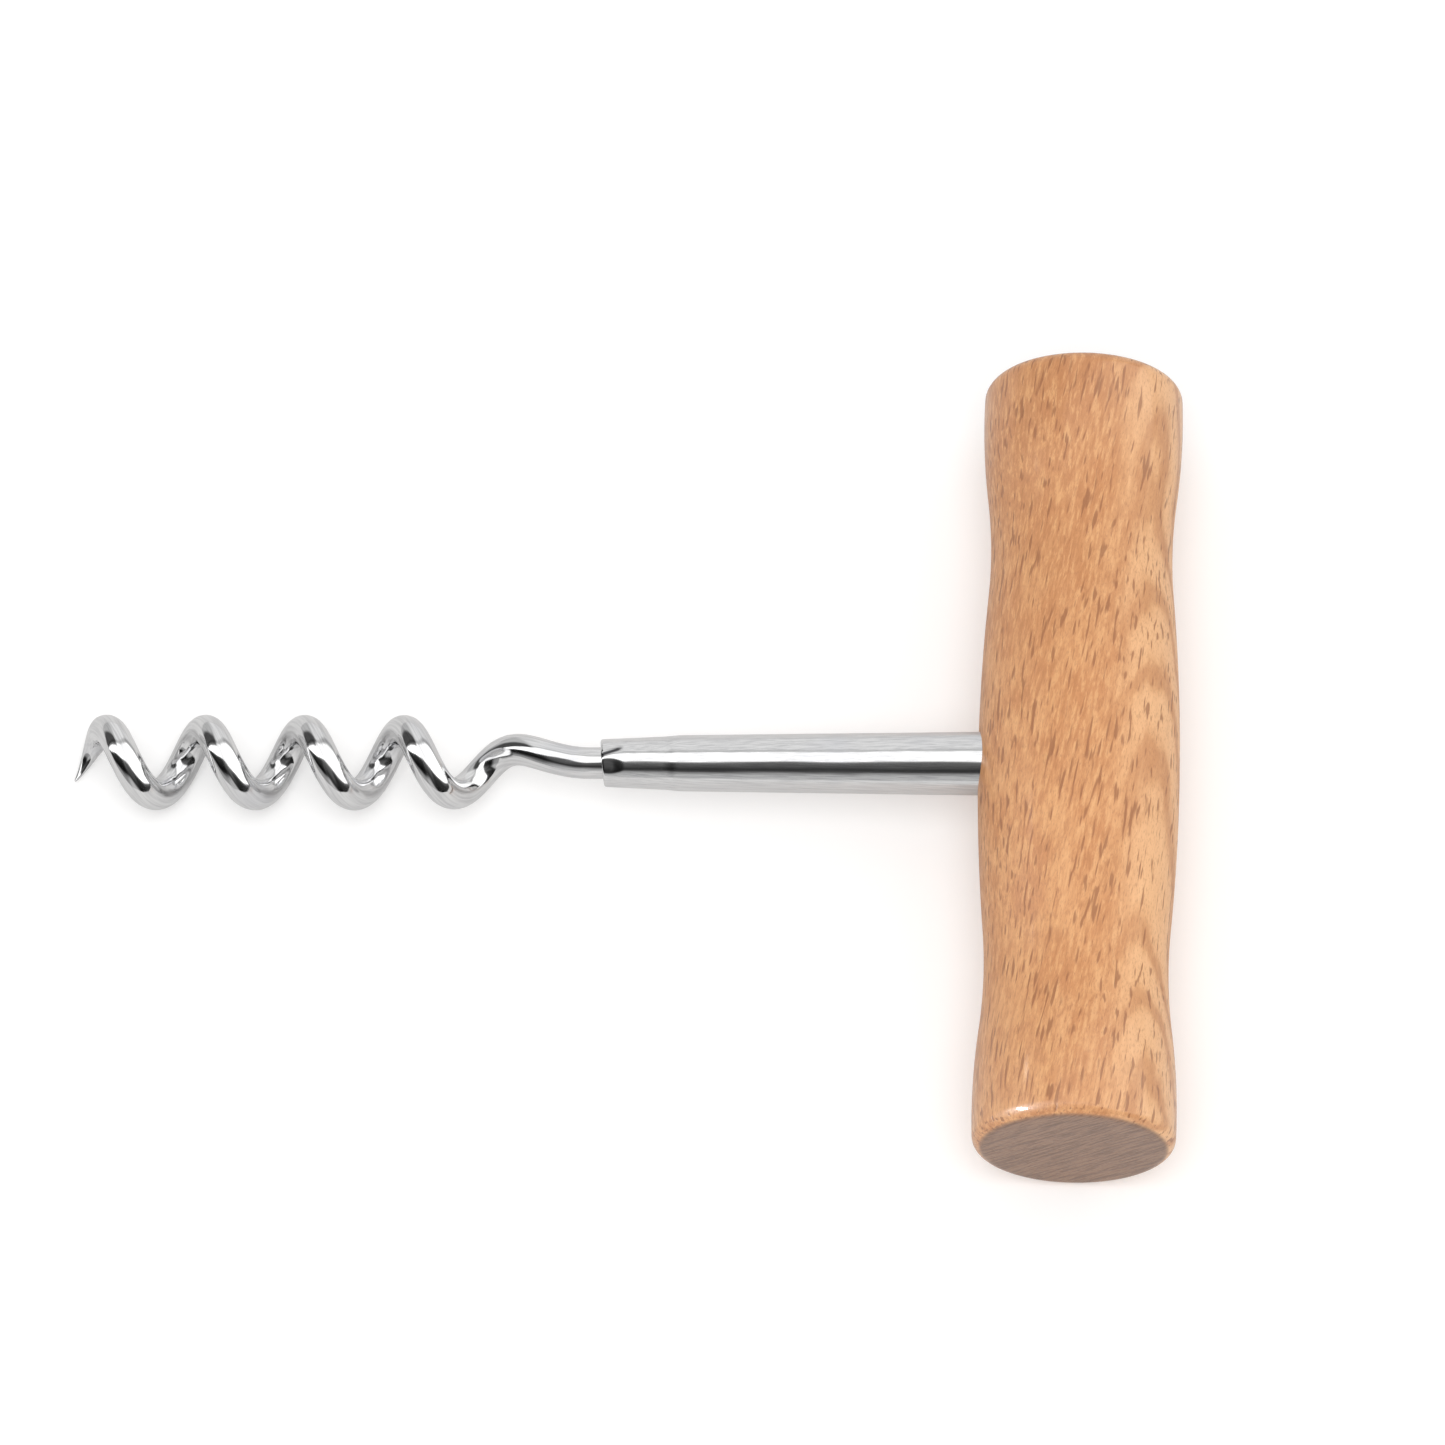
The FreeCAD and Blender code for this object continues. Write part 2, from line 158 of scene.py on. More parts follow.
ALONG_HANDLE = Vector((0, 1, 0))
ALONG_SHANK = Vector((-1, 0, 0))
HANDLE_STEPS = 160
blank = turned(handle_profile(), ALONG_HANDLE, HANDLE_STEPS)
print("turned blank:", len(blank.faces), "faces")

# %% [markdown]
# ## Drilling it
#
# The tube sits 7 mm deep in a flat bottomed bore, and the wire goes on into a pilot hole with the
# cone of a drill at its end. Both are one more turned shape, taken away from the blank with a
# Boolean modifier, just as a drill takes it away. The modifier is applied at once, so the piece
# leaves this cell as plain mesh.

# %% Cut the bore out of the blank
BORE, PILOT = 3.05, 1.55
WELL_OUTSIDE, BORE_FLOOR, PILOT_FLOOR, DRILL_TIP = 14, 2.5, -2.8, -3.73
DRILL_STEPS = 96
drill = turned([(0, WELL_OUTSIDE), (BORE, WELL_OUTSIDE), (BORE, BORE_FLOOR), (PILOT, BORE_FLOOR),
                (PILOT, PILOT_FLOOR), (0, DRILL_TIP)], ALONG_SHANK, DRILL_STEPS)


def scratch_object(name, drawing):
    mesh = bpy.data.meshes.new(name)
    drawing.to_mesh(mesh)
    drawing.free()
    scratch = bpy.data.objects.new(name, mesh)
    bpy.context.collection.objects.link(scratch)
    return scratch


blank_object = scratch_object("blank", blank)
drill_object = scratch_object("drill", drill)
cut = blank_object.modifiers.new("bore", "BOOLEAN")
cut.operation = "DIFFERENCE"
cut.solver = "EXACT"
cut.object = drill_object
bored = bmesh.new()
bored.from_object(blank_object, bpy.context.evaluated_depsgraph_get())
for scratch in (blank_object, drill_object):
    bpy.data.objects.remove(scratch)
handle = finish_piece("beech_handle", bored, "handle")

# %% [markdown]
# ## The tube
#
# The tube is drawn down towards the worm. Its last stretch, the nose, is pressed small enough to
# grip the wire, which leaves a little shoulder. It is a profile again, this time closed, because
# the tube is hollow. Its corners are rounded in the profile with a few points each, since drawn
# steel has no knife edges.


# %% Round the corners of a profile
def rounded(corners, radii, steps=4):
    path = []
    for i, corner in enumerate(corners):
        corner = Vector(corner)
        before = (Vector(corners[i - 1]) - corner).normalized()
        after = (Vector(corners[(i + 1) % len(corners)]) - corner).normalized()
        if not radii[i]:
            path.append(tuple(corner))
            continue
        start, end = corner + before * radii[i], corner + after * radii[i]
        for j in range(steps + 1):
            share = j / steps
            path.append(tuple(start * (1 - share) ** 2 + corner * 2 * share * (1 - share)
                              + end * share ** 2))
    return path


NOSE_END, SHOULDER_ENDS, SHOULDER_STARTS, HANDLE_SIDE = 45.0, 38.8, 37.8, 9.5
NOSE_TIP, NOSE_BACK, SHOULDER, TUBE = 2.25, 2.53, 2.65, 3.0
NOSE_BORE, SHOULDER_BORE, TUBE_BORE = 1.53, 1.95, 2.3
tube_corners = [(NOSE_BORE, NOSE_END), (NOSE_TIP, NOSE_END), (NOSE_BACK, SHOULDER_ENDS),
                (SHOULDER, SHOULDER_STARTS), (TUBE, HANDLE_SIDE), (TUBE, BORE_FLOOR),
                (TUBE_BORE, BORE_FLOOR), (TUBE_BORE, HANDLE_SIDE), (SHOULDER_BORE, SHOULDER_STARTS),
                (NOSE_BORE, SHOULDER_ENDS)]
tube_rounding = [0.12, 0.25, 0.45, 0.45, 0, 0.15, 0.1, 0, 0, 0]
tube_profile = rounded(tube_corners, tube_rounding)
print("points on the tube's profile:", len(tube_profile))

# %% [markdown]
# ## Points where the crimp marks will be
#
# The nose gets more rings than its straight sides need, because a tool is about to crimp it and a
# dent can only be as fine as the points it moves. The jaw of the tool is nearly flat and presses
# from the open end, so under it the points drop towards one flat floor, which runs out softly to
# the handle. The steel it pushed aside left a short crease above it. Both get painted shade, so
# each point also keeps how much of that painted shade it takes, for the finish to read. The nose
# was cut a little out of square, which a small slant of its last millimetres shows.


# %% Spin the tube
RING_SPACING, TUBE_STEPS = 0.11, 192
OUTSIDE = 2.0


def subdivided(path, longest, low, high):
    """More points on the outside of the tube, between two places along it."""
    finer = []
    for (radius, place), (next_radius, next_place) in zip(path, path[1:] + path[:1]):
        finer.append((radius, place))
        outside = min(radius, next_radius) > OUTSIDE
        if outside and min(place, next_place) < high and max(place, next_place) > low:
            count = int(abs(next_place - place) / longest)
            finer += [(radius + (next_radius - radius) * i / count,
                       place + (next_place - place) * i / count) for i in range(1, count)]
    return finer


tube_path = subdivided(tube_profile, RING_SPACING, SHOULDER_ENDS, NOSE_END)
tube_drawing = turned(tube_path + tube_path[:1], ALONG_SHANK, TUBE_STEPS)
print("rings on the tube:", len(tube_path))

# %% [markdown]
# ## Denting the nose
#
# A dent needs two answers for each point: how far into the mark it lies, and how far it may drop.
# The first is a distance that is 1 at the mark's edge, and easing the dent to nothing there gives
# the soft run-out. The second is the height over the flat floor. The two jaws of the tool face each
# other, so the same mark is made on both sides.


# %% Crease and crimp marks
def eased(value, low, high):
    share = min(max((value - low) / (high - low), 0), 1)
    return share * share * (3 - 2 * share)


CREASE_LENGTH, CREASE_DEPTH, CREASE_WIDTH = 2.4, 0.07, 0.2
CREASE_STARTS, CREASE_CLIMBS, CREASE_OVERHANG = math.radians(-4), math.radians(20), 0.2


def crease_depth(point, place):
    """The crease climbs from the nose end to the top of the tube."""
    share = (NOSE_END + CREASE_OVERHANG - place) / CREASE_LENGTH
    if not 0 < share < 1:
        return 0
    line = CREASE_STARTS + CREASE_CLIMBS * share
    aside = (math.atan2(point.co.y, point.co.z) - line) * point.co.yz.length
    return CREASE_DEPTH * math.exp(-(aside / CREASE_WIDTH) ** 2) * eased(share, 1, 0.7)


MARK_PLACE, MARK_TURN = 44.9, math.radians(31)
MARK_LENGTH, MARK_WIDTH, MARK_FLOOR, MARK_PRESSED = 2.2, 1.3, 2.14, 0.6
# How dark the painted shade in the crimp marks is, and the crease depth that gets full painted shade.
MARK_SHADE, CREASE_FULL_SHADE = 0.15, 0.05
SLANT_STARTS, NOSE_SLANT = 43.0, 0.09
painted_dent_shade = tube_drawing.verts.layers.float.new("painted_dent_shade")
dented = 0
for point in tube_drawing.verts:
    place = -point.co.x
    if point.co.yz.length > OUTSIDE:
        for side in (1, -1):
            outward = Vector((0, -side * math.sin(MARK_TURN), side * math.cos(MARK_TURN)))
            across = point.co.cross(outward).x
            drop = point.co.dot(outward) - MARK_FLOOR
            reach = math.hypot(max(MARK_PLACE - place, 0) / MARK_LENGTH, across / MARK_WIDTH)
            if reach < 1 and drop > 0:
                inside = eased(reach, 1, 0.4)
                point.co -= outward * drop * MARK_PRESSED * inside
                # Painted shade in the dent.
                point[painted_dent_shade] = MARK_SHADE * inside
                dented += 1
        crease = crease_depth(point, place)
        # Painted shade along the crease, darker where the crease is deeper.
        point[painted_dent_shade] = max(point[painted_dent_shade], min(crease / CREASE_FULL_SHADE, 1))
        point.co.yz *= 1 - crease / point.co.yz.length
    point.co.x -= NOSE_SLANT * point.co.y * eased(place, SLANT_STARTS, NOSE_END)
print("points under the jaws:", dented)
tube = finish_piece("steel_tube", tube_drawing, "tube", math.radians(50))

# %% [markdown]
# ## The line of the wire
#
# The wire is straight in the handle and the tube. Then it swings out to the radius of the coil
# over 15 mm, and turns with an even pitch to the tip. The coil is right-handed, as an ordinary
# corkscrew is. One function gives its middle at any place along the shank, and its radius falls
# away in the ground point.

# %% Middle and heading of the wire
WIRE, BLUNT_TIP = 1.5, 0.1
TAIL, BEND_STARTS, BEND, TIP = -2.5, 46.2, 15.0, 95.5
COIL, PITCH, TIP_TURN = 3.025, 9.45, math.radians(167.6)
POINT_STARTS, POINT_CURVE = 92.38, 1.15


def wire_middle(place):
    back = max(BEND_STARTS + BEND - place, 0)
    share = min(back / BEND, 1)
    radius = COIL * (1 - share ** 2) ** 2
    coiled = TIP - max(place, BEND_STARTS + BEND)
    turn = TIP_TURN + 2 * math.pi * (coiled + back * (1 - share / 2)) / PITCH
    return Vector((-place, -radius * math.sin(turn), radius * math.cos(turn)))


def wire_heading(place):
    return (wire_middle(place + 1e-3) - wire_middle(place - 1e-3)).normalized()


def wire_radius(place):
    share = max(place - POINT_STARTS, 0) / (TIP - POINT_STARTS)
    return WIRE + (BLUNT_TIP - WIRE) * share ** POINT_CURVE


print("wire at the tip:", [round(value, 2) for value in wire_middle(TIP)])

# %% [markdown]
# ## Drawing the wire
#
# A ring of edges is extruded step by step, as wire leaves a die. At each step the new ring is
# moved to the next place on the line, turned by the small angle between the two headings, and
# scaled down where the point is ground. Turning from the last heading, and not from a fixed
# upright, keeps the ring from twisting round the wire.
#
# The marks of the die follow the wire round its coil, so each point also keeps where it is on the
# straight wire: across it, and how far along. The steel finish reads that.


# %% Extrude the wire ring by ring
RING_STEP, POINT_STEP, LAST_STEP, WIRE_SIDES = 0.11, 0.06, 0.07, 36


def wire_rings():
    """Few rings where the wire is straight, many round the coil, and most in the point."""
    places = [TAIL, 20.0, 44.0, BEND_STARTS]
    while places[-1] < TIP - LAST_STEP:
        places.append(places[-1] + (RING_STEP if places[-1] < POINT_STARTS else POINT_STEP))
    return places + [TIP]


def remember(layer, points, middle, facing, length):
    for point in points:
        across = facing.inverted() @ (point.co - middle)
        point[layer] = Vector((across.x, across.y, length))


wire_drawing = bmesh.new()
on_wire = wire_drawing.verts.layers.float_vector.new("on_wire")
places = wire_rings()
heading = wire_heading(places[0])
facing = Vector((0, 0, 1)).rotation_difference(heading)
first = bmesh.ops.create_circle(wire_drawing, cap_ends=True, cap_tris=True, segments=WIRE_SIDES,
                                radius=WIRE)["verts"]
bmesh.ops.rotate(wire_drawing, verts=first, cent=(0, 0, 0), matrix=facing.to_matrix())
bmesh.ops.translate(wire_drawing, verts=first, vec=wire_middle(places[0]))
remember(on_wire, first, wire_middle(places[0]), facing, 0)
ring = [edge for edge in wire_drawing.edges if edge.is_boundary]
length = 0
for last, place in zip(places, places[1:]):
    grown = bmesh.ops.extrude_edge_only(wire_drawing, edges=ring)["geom"]
    points = [item for item in grown if isinstance(item, bmesh.types.BMVert)]
    ring = [item for item in grown if isinstance(item, bmesh.types.BMEdge) and item.is_boundary]
    middle = wire_middle(place)
    step = middle - wire_middle(last)
    turn = heading.rotation_difference(wire_heading(place))
    bmesh.ops.translate(wire_drawing, verts=points, vec=step)
    bmesh.ops.rotate(wire_drawing, verts=points, cent=middle, matrix=turn.to_matrix())
    bmesh.ops.scale(wire_drawing, verts=points, vec=(wire_radius(place) / wire_radius(last),) * 3,
                    space=Matrix.Translation(-middle))
    heading, facing, length = wire_heading(place), turn @ facing, length + step.length
    remember(on_wire, points, middle, facing, length)
bmesh.ops.edgeloop_fill(wire_drawing, edges=ring)
print("rings on the wire:", len(places), "length", round(length, 1), "mm")
worm = finish_piece("wire_worm", wire_drawing, "worm", math.radians(60))

# %% [markdown]
# ## Building with nodes
#
# The finishes, the floor and the studio below are made of nodes. A few helpers keep them short to
# write. `add` makes a node and fills its sockets, and `plug` fills one socket, with a number or
# with what another node gives. `sum` does arithmetic, `parts` splits a vector into X, Y and Z,
# `between` eases from one number to another, and `mix` blends two colours.


# %% Helpers for any node tree
class Nodes:
    """A node tree and the tools to wire it."""

    def __init__(self, tree):
        self.tree = tree
        tree.nodes.clear()

    def add(self, kind, operation=None, **sockets):
        node = self.tree.nodes.new(kind)
        if operation:
            node.operation = operation
        for name, value in sockets.items():
            self.plug(node.inputs[name.replace("_", " ")], value)
        return node

    def plug(self, socket, value):
        if isinstance(value, bpy.types.NodeSocket):
            self.tree.links.new(value, socket)
        else:
            socket.default_value = value

    def sum(self, operation, *values):
        node = self.add("ShaderNodeMath", operation)
        for socket, value in zip(node.inputs, values):
            self.plug(socket, value)
        return node.outputs[0]

    def parts(self, vector):
        return self.add("ShaderNodeSeparateXYZ", Vector=vector).outputs

    def between(self, value, low, high, start=0.0, end=1.0):
        node = self.add("ShaderNodeMapRange", Value=value)
        for name, number in (("From Min", low), ("From Max", high), ("To Min", start), ("To Max", end)):
            self.plug(node.inputs[name], number)
        node.interpolation_type = "SMOOTHSTEP"
        return node.outputs["Result"]

    def mix(self, share, first, second):
        node = self.tree.nodes.new("ShaderNodeMix")
        node.data_type = "RGBA"
        self.plug(node.inputs[0], share)
        self.plug(node.inputs[6], first)
        self.plug(node.inputs[7], second)
        return node.outputs[2]


print("kinds of node helper:", sorted(name for name in vars(Nodes) if name[0] != "_"))

# %% [markdown]
# ## Building a finish
#
# A finish is patterns of noise, mixed into colour, roughness and bump. The piece's own coordinates
# are turned into millimetres first, so every pattern can be given its real size: a noise that is
# stretched to (0.4, 3, 0.4) has cells that are 0.4 mm across and 3 mm long.


# %% Helpers for a finish
class Finish(Nodes):
    """A material whose patterns are measured in millimetres."""

    def __init__(self, name):
        self.material = bpy.data.materials.new(name)
        self.material.use_nodes = True
        super().__init__(self.material.node_tree)
        self.shader = self.add("ShaderNodeBsdfPrincipled")
        self.add("ShaderNodeOutputMaterial", Surface=self.shader.outputs["BSDF"])
        on_piece = self.add("ShaderNodeTexCoord").outputs["Object"]
        self.place = self.add("ShaderNodeVectorMath", "SCALE", Vector=on_piece, Scale=1 / MM).outputs[0]

    def carried(self, attribute):
        """A value that each point of the piece keeps."""
        node = self.add("ShaderNodeAttribute")
        node.attribute_name = attribute
        return node.outputs

    def stretched(self, lengths, turn=(0, 0, 0)):
        """Coordinates in which a pattern one unit long is so many millimetres along X, Y, Z."""
        node = self.add("ShaderNodeMapping", Vector=self.place, Rotation=turn, Scale=lengths)
        node.vector_type = "TEXTURE"
        return node.outputs[0]

    def noise(self, place, detail=2.0, roughness=0.5, distortion=0.0):
        node = self.add("ShaderNodeTexNoise", Vector=place, Scale=1.0, Detail=detail,
                        Roughness=roughness, Distortion=distortion)
        return node.outputs["Fac"]

    def bump(self, height, distance, below=None):
        node = self.add("ShaderNodeBump", Height=height, Strength=1.0, Distance=distance * MM)
        if below is not None:
            self.plug(node.inputs["Normal"], below)
        return node.outputs["Normal"]

    def set(self, **sockets):
        """Fills sockets of the shader itself."""
        for name, value in sockets.items():
            self.plug(self.shader.inputs[name.replace("_", " ")], value)


def paint(red, green, blue):
    """A colour as a paint card gives it, 0 to 255, for Blender's linear light."""
    def linear(value):
        value /= 255
        return value / 12.92 if value <= 0.04045 else ((value + 0.055) / 1.055) ** 2.4
    return (linear(red), linear(green), linear(blue), 1.0)


print("a beech tone in linear light:", [round(value, 3) for value in paint(218, 160, 116)])

# %% [markdown]
# ## Beech
#
# Steamed beech is a warm pinkish tan. Three things make it beech and not just brown: the growth
# rings, which are faint and broad and show as arches where the turned surface cuts through them,
# the short dark flecks of its rays, which run with the grain and are only a couple of millimetres
# long, and a cloudy change between orange and pink. The grain runs along the handle, Y, so each
# pattern is stretched that way. A solid pattern in three dimensions is cut by the surface as the
# real wood is, so nothing has to be unwrapped.
#
# The clouds and fine streaks come first. The side is also painted darker towards the far end, as painted
# shade.

# %% Clouds and streaks
LEAN = (0, 0, math.radians(-10))
beech = Finish("beech")
here = beech.parts(beech.place)
clouds = beech.noise(beech.stretched((3, 7, 3), LEAN), detail=4.0, roughness=0.6, distortion=0.4)
side_colour = beech.mix(beech.between(clouds, 0.36, 0.64), paint(219, 161, 110), paint(203, 141, 92))
# Painted shade: the side colour darkens towards the far end.
far_end_shade = beech.between(here["Y"], -10, 38, 0.0, 0.55)
side_colour = beech.mix(far_end_shade, side_colour, paint(192, 132, 86))
streaks = beech.noise(beech.stretched((0.36, 2.2, 0.36), LEAN), detail=4.0, roughness=0.65, distortion=0.25)
side_colour = beech.mix(beech.between(streaks, 0.36, 0.5, 0.6, 0.0), side_colour, paint(232, 178, 125))
side_colour = beech.mix(beech.between(streaks, 0.5, 0.64, 0.0, 0.6), side_colour, paint(184, 124, 78))
print("the grain leans", round(math.degrees(-LEAN[2])), "degrees")

# %% [markdown]
# ### Growth rings
#
# Seen from close by, growth rings are nearly flat layers. A sine of the distance across them makes
# the layers, and a broad noise lets them wander. They are turned so that the right side of the
# handle cuts them at a low angle, which is where arches appear. The colour there is also lifted
# towards a paler tone, most on the light layers.

# %% Rings
RING_LEAN = (0, math.radians(-42), math.radians(-10))
GROWTH_SPACING, GROWTH_WANDER = 1.4, 1.8
wander = beech.noise(beech.stretched((8, 20, 8), LEAN), detail=4.0)
across = beech.parts(beech.stretched((1, 1, 1), RING_LEAN))["X"]
ring_place = beech.sum("ADD", beech.sum("DIVIDE", across, GROWTH_SPACING),
                       beech.sum("MULTIPLY", wander, GROWTH_WANDER))
ring_wave = beech.sum("SINE", beech.sum("MULTIPLY", ring_place, 2 * math.pi))
right_side = beech.between(here["X"], 43.5, 50.5)
# The right side is made paler, most on the light layers of the rings.
light_share = beech.sum("MULTIPLY", beech.between(ring_wave, -1.0, 0.6, 0.45, 1.0),
                        beech.between(right_side, 0, 1, 0.0, 0.8))
side_colour = beech.mix(light_share, side_colour, paint(243, 192, 142))
line_share = beech.sum("MULTIPLY", beech.between(ring_wave, -1.0, -0.4, 0.45, 0.0),
                       beech.between(right_side, 0, 1, 0.2, 1.0))
side_colour = beech.mix(line_share, side_colour, paint(188, 126, 80))
print("a growth ring every", GROWTH_SPACING, "mm")

# %% [markdown]
# ### Flecks and pores
#
# Flecks are the peaks of a noise whose cells are a third of a millimetre wide and three long. A
# narrow step near the top of the noise keeps only the peaks, which leaves spindle shapes. They
# lean a little to the right, as the grain does here. A second, finer noise gives the pores.

# %% Flecks of the rays, and pores
FLECK, PORE = (0.36, 3.1, 0.36), (0.12, 0.5, 0.12)
flecks = beech.noise(beech.stretched(FLECK, LEAN), detail=1.0, roughness=0.4, distortion=0.1)
fleck_share = beech.between(flecks, 0.585, 0.70, 0.0, 0.75)
side_colour = beech.mix(fleck_share, side_colour, paint(148, 94, 58))
pores = beech.noise(beech.stretched(PORE, LEAN), detail=2.0, roughness=0.6)
side_colour = beech.mix(beech.between(pores, 0.48, 0.75, 0.0, 0.5), side_colour, paint(172, 114, 76))
print("flecks are up to", FLECK[1], "mm long, pores", PORE[1], "mm")

# %% [markdown]
# ### End grain
#
# On the two round end faces the saw has cut across the grain. It drinks more lacquer, so it is
# darker and greyer, and its colour is painted darker still as painted shade, since the end faces
# turn away from the light. The rays show as fine light and dark lines across it. The way the
# surface faces tells the two kinds of wood apart. The lacquer itself is glossier towards the ends,
# where no hand rubs it.

# %% End grain
facing_y = beech.parts(beech.add("ShaderNodeNewGeometry").outputs["Normal"])["Y"]
end_share = beech.between(beech.sum("ABSOLUTE", facing_y), 0.82, 0.99)
RAY_LEAN = (0, math.radians(-42), 0)
ray_lines = beech.noise(beech.stretched((3.2, 30, 0.3), RAY_LEAN), detail=3.0, roughness=0.65)
ray_pores = beech.noise(beech.stretched((0.5, 4, 0.2), RAY_LEAN), detail=2.0)
# The end colours are darker end grain with painted shade in them as well.
end_grain_and_shade = beech.mix(beech.between(ray_lines, 0.38, 0.64), paint(151, 115, 90), paint(121, 88, 67))
end_grain_and_shade = beech.mix(beech.between(ray_pores, 0.5, 0.75, 0.0, 0.5), end_grain_and_shade, paint(112, 82, 64))
print("the rays on the end faces lean", round(math.degrees(-RAY_LEAN[1])), "degrees")

# %% The whole wood
grain_height = beech.sum("SUBTRACT", beech.sum("MULTIPLY", streaks, -0.5), fleck_share)
end_height = beech.sum("MULTIPLY", ray_lines, end_share)
lacquer = beech.between(beech.sum("ABSOLUTE", here["Y"]), 24, 36, 0.15, 0.6)
beech.set(Base_Color=beech.mix(end_share, side_colour, end_grain_and_shade),
          Normal=beech.bump(beech.sum("ADD", grain_height, end_height), 0.03),
          Roughness=beech.between(streaks, 0.3, 0.7, 0.40, 0.52),
          Coat_Weight=lacquer, Coat_Roughness=0.12, Specular_IOR_Level=0.4)
handle.data.materials.append(beech.material)
print("beech nodes:", len(beech.tree.nodes))

# %% [markdown]
# ## Bright steel
#
# The tube and the wire are plated and polished, so nearly all of their look is what they mirror.
# What is left to the material is how clean that mirror is: fine lines along the tube from the
# drawing die, a slight ripple that bends the reflections, and a thin film here and there. Each is
# a small change of roughness or a bump of a few thousandths of a millimetre. On the tube, the
# colour also takes painted shade in the crimp marks and the crease.


# %% A plated finish
def plated(name, grain, ripple_size, ripple_depth, smoothness, along=None, painted_dent_shade=None):
    """The last two arguments name what the piece's points keep: a place on the wire, and painted shade in
    the tube's dents.
    """
    finish = Finish(name)
    if along:
        finish.place = finish.carried(along)["Vector"]
    lines = finish.noise(finish.stretched(grain), detail=3.0, roughness=0.6)
    film = finish.noise(finish.stretched((6, 6, 6)), detail=2.0)
    colour = finish.mix(finish.between(lines, 0.35, 0.7), paint(236, 236, 236), paint(212, 212, 213))
    colour = finish.mix(finish.between(film, 0.5, 0.7, 0.0, 0.3), colour, paint(214, 215, 221))
    # Painted shade in the crimp marks and the crease, carried by the tube's points.
    if painted_dent_shade:
        colour = finish.mix(finish.carried(painted_dent_shade)["Fac"], colour, paint(78, 78, 80))
    rough = finish.sum("ADD", finish.between(lines, 0.3, 0.8, 0.0, 0.07),
                       finish.between(film, 0.3, 0.7, 0.0, 0.04))
    waves = finish.bump(finish.noise(finish.stretched(ripple_size), detail=1.0), ripple_depth)
    finish.set(Base_Color=colour, Metallic=1.0, Roughness=finish.sum("ADD", rough, smoothness),
               Normal=finish.bump(lines, 0.0008, waves))
    return finish


tube_finish = plated("drawn_tube", (7, 0.13, 0.13), (10, 1.1, 1.1), 0.035, 0.07, painted_dent_shade="painted_dent_shade")
wire_finish = plated("plated_wire", (0.2, 0.2, 3.0), (0.9, 0.9, 3.2), 0.07, 0.05, along="on_wire")
tube.data.materials.append(tube_finish.material)
worm.data.materials.append(wire_finish.material)
print("steel nodes:", len(tube_finish.tree.nodes))

# %% [markdown]
# ## Floor
#
# The corkscrew lies on a plain white table. The floor is a wide pale sheet that takes the soft
# shadow. A little extra white, for the camera alone, lifts the open table to paper white without
# putting more light on the corkscrew. In the steel the table shows a shade darker, as it does in
# the photograph, where the underside of the tube is grey and not white.

# %% A pale table
table_drawing = bmesh.new()
bmesh.ops.create_grid(table_drawing, x_segments=1, y_segments=1, size=3.0)
table = scratch_object("table", table_drawing)
paper = bpy.data.materials.new("paper_white")
paper.use_nodes = True
paper_nodes = Nodes(paper.node_tree)
seen_by = paper_nodes.add("ShaderNodeLightPath").outputs
OPEN_TONE, MIRRORED_TONE, LIFT = (0.82, 0.82, 0.82, 1), (0.68, 0.68, 0.68, 1), 0.22
table_tone = paper_nodes.mix(seen_by["Is Glossy Ray"], OPEN_TONE, MIRRORED_TONE)
diffuse = paper_nodes.add("ShaderNodeBsdfDiffuse", Color=table_tone).outputs[0]
lift = paper_nodes.sum("MULTIPLY", seen_by["Is Camera Ray"], LIFT)
lifted = paper_nodes.add("ShaderNodeEmission", Strength=lift).outputs[0]
together = paper_nodes.add("ShaderNodeAddShader")
paper_nodes.plug(together.inputs[0], diffuse)
paper_nodes.plug(together.inputs[1], lifted)
paper_nodes.add("ShaderNodeOutputMaterial", Surface=together.outputs[0])
table.data.materials.append(paper)
print("table is", table.dimensions.x, "m wide")

# %% [markdown]
# ## What the steel mirrors
#
# A polished rod shows the studio as bands along its length. Overhead hangs a white light sheet,
# behind it a pale wall, and on the near side is the dark of the camera's end of the room. The
# world carries that studio as a ramp from the near horizon over the top to the far one. Each band
# is an angle from straight up, in degrees, and how light the studio is there.

# %% The bands of the studio
BANDS = ((-90, 0.56), (-71, 0.50), (-63, 0.28), (-57, 0.06), (-49, 0.03), (-38, 0.09), (-24, 0.14),
         (-18.5, 0.3), (-16, 1.4), (20, 1.4), (25, 0.6), (29, 0.6), (34, 0.86), (90, 0.82))
world = bpy.data.worlds.new("studio")
bpy.context.scene.world = world
world.use_nodes = True
sky = Nodes(world.node_tree)
direction = sky.parts(sky.add("ShaderNodeTexCoord").outputs["Generated"])
angle = sky.sum("ARCTAN2", direction["Y"], direction["Z"])
print("bands in the studio:", len(BANDS))

# %% [markdown]
# ### To the sides
#
# The tube only mirrors what is square on to it. The turns of the worm also look to the sides, and
# show that the light sheet widens to the right and ends at a dark corner behind on the left, and
# that light and dark differ more there. So the angle is divided by a number that grows to the
# right before the ramp is read, and a power deepens what the ramp gives.

# %% The ramp, and what changes to the sides
TUBE_LOOKS, WIDENS = -0.1, 1.25
right_share = sky.sum("MAXIMUM", sky.sum("SUBTRACT", direction["X"], TUBE_LOOKS), 0.0)
widened = sky.sum("EXPONENT", sky.sum("MULTIPLY", right_share, WIDENS))
half_turns = sky.sum("DIVIDE", sky.sum("DIVIDE", angle, widened), math.pi)
ramp = sky.add("ShaderNodeValToRGB", Fac=sky.sum("ADD", half_turns, 0.5))
stops = ramp.color_ramp.elements
while len(stops) < len(BANDS):
    stops.new(0.5)
for stop, (degrees, light) in zip(stops, BANDS):
    stop.position = (degrees + 90) / 180
    stop.color = (light, light, light, 1)
deepened = sky.between(sky.sum("ABSOLUTE", direction["X"]), 0.2, 0.45, 1.0, 1.7)
bands = sky.sum("POWER", ramp.outputs[0], deepened)

